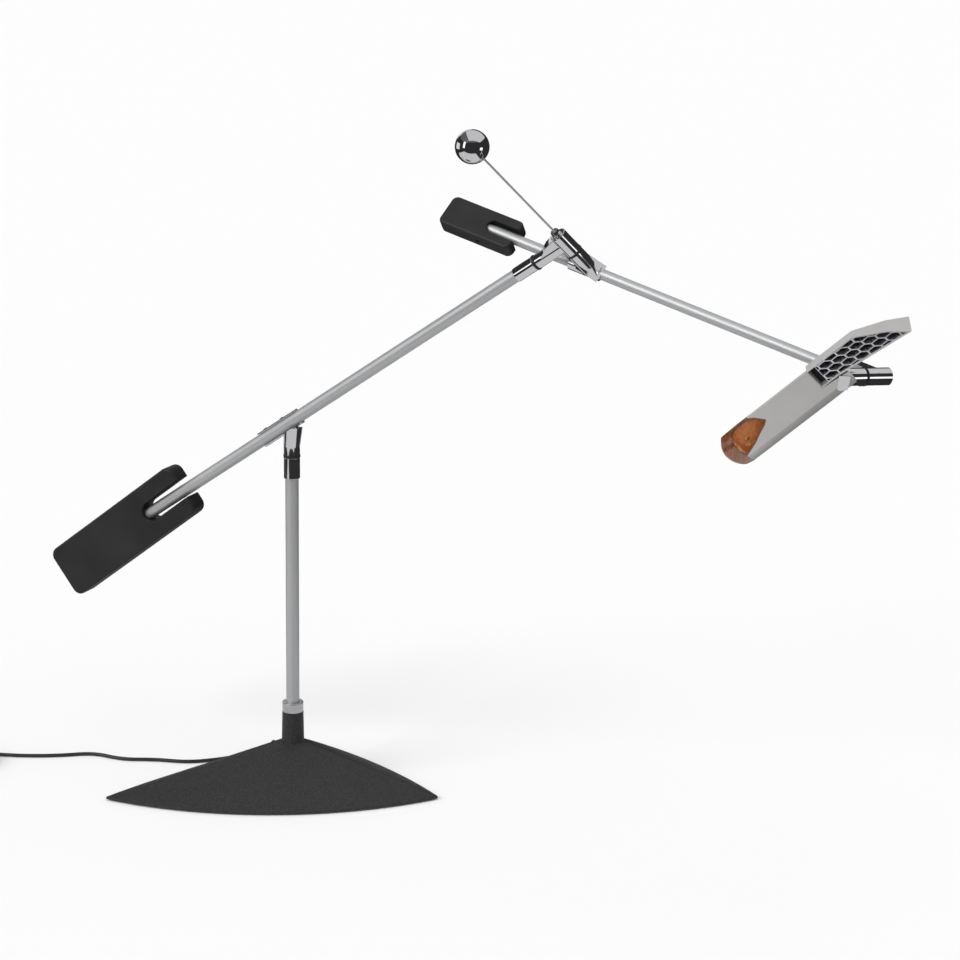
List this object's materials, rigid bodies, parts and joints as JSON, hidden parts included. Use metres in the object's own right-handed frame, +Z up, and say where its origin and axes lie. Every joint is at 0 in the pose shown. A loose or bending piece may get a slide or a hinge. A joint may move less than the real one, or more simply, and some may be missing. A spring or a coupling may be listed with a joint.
{
  "type": "counterweight balance desk lamp",
  "caption": "Desk lamp with a long pointed-corner base, swivelling post, weighted lower and upper balance arms, a small balance ball on a rod and a long LED head with an amber tip.",
  "frame": {"origin": "on the table under the post's axis, at the foot pad's underside", "axes": "+Z up along the post, +X to the right of the pictured side, +Y away from its camera"},
  "size_m": [0.9915, 0.4072, 0.6689],
  "materials": {
    "black_texture": "fine texture",
    "black_satin": "satin",
    "silver_satin": "satin",
    "chrome": "polished",
    "steel": "brushed",
    "black_plastic": "matte",
    "black_rubber": "matte",
    "head_grey": "satin",
    "reflector": "metallised",
    "board_white": "matte",
    "led_yellow": "gloss",
    "amber": "translucent",
    "amber_plate": "gloss"
  },
  "bodies": {
    "base": {"base_shell": "black_texture", "base_cover": "black_satin", "foot_pad": "black_rubber", "ballast_plate": "black_satin", "base_collar": "silver_satin", "post_tube": "silver_satin", "post_locknut": "black_texture", "post_ferrule": "chrome", "post_spindle": "steel", "post_ring": "black_plastic", "cord_gland": "black_rubber", "power_cord": "black_rubber", "cord_coil": "black_rubber", "plug": "black_plastic"},
    "lower_arm": {"lower_saddle": "chrome", "lower_saddle_screws": "steel", "lower_arm_tube": "silver_satin", "lower_counterweight": "black_satin", "lower_weight_pin": "steel", "lower_arm_ferrule": "chrome", "elbow_roll_spindle": "steel", "elbow_roll_ring": "black_plastic"},
    "elbow": {"elbow_casting": "chrome", "elbow_spindle": "steel", "elbow_ring": "black_plastic", "rod_nut": "chrome", "balance_rod": "steel", "balance_ball": "chrome"},
    "upper_arm": {"upper_saddle": "chrome", "upper_saddle_screws": "steel", "upper_arm_tube": "silver_satin", "upper_counterweight": "black_satin", "upper_weight_pin": "steel", "head_saddle": "chrome", "head_spindle": "steel", "head_ring": "black_plastic"},
    "head": {"head_lug": "chrome", "head_body": "head_grey", "led_housing": "head_grey", "led_board": "board_white", "leds": "led_yellow", "reflector_grid": "reflector", "amber_tip": "amber", "control_plate": "amber_plate"}
  },
  "joints": [
    {"name": "post_swivel", "type": "hinge", "parent": "base", "child": "lower_arm", "pos_m": [0, 0, 0.348], "axis": [0, 0, 1], "range_deg": [-160, 160]},
    {"name": "elbow_roll", "type": "hinge", "parent": "lower_arm", "child": "elbow", "pos_m": [0.23627, -0.10372, 0.55098], "axis": [0.7501, -0.3293, 0.5736], "range_deg": [-150, 150]},
    {"name": "elbow_swivel", "type": "hinge", "parent": "elbow", "child": "upper_arm", "pos_m": [0.26744, -0.10576, 0.55088], "axis": [0.6586, 0.2928, -0.6932], "range_deg": [-10, 105]},
    {"name": "head_swivel", "type": "hinge", "parent": "upper_arm", "child": "head", "pos_m": [0.49974, -0.25342, 0.47871], "axis": [0.9111, 0.4076, -0.0608], "range_deg": [-30, 110]}
  ]
}
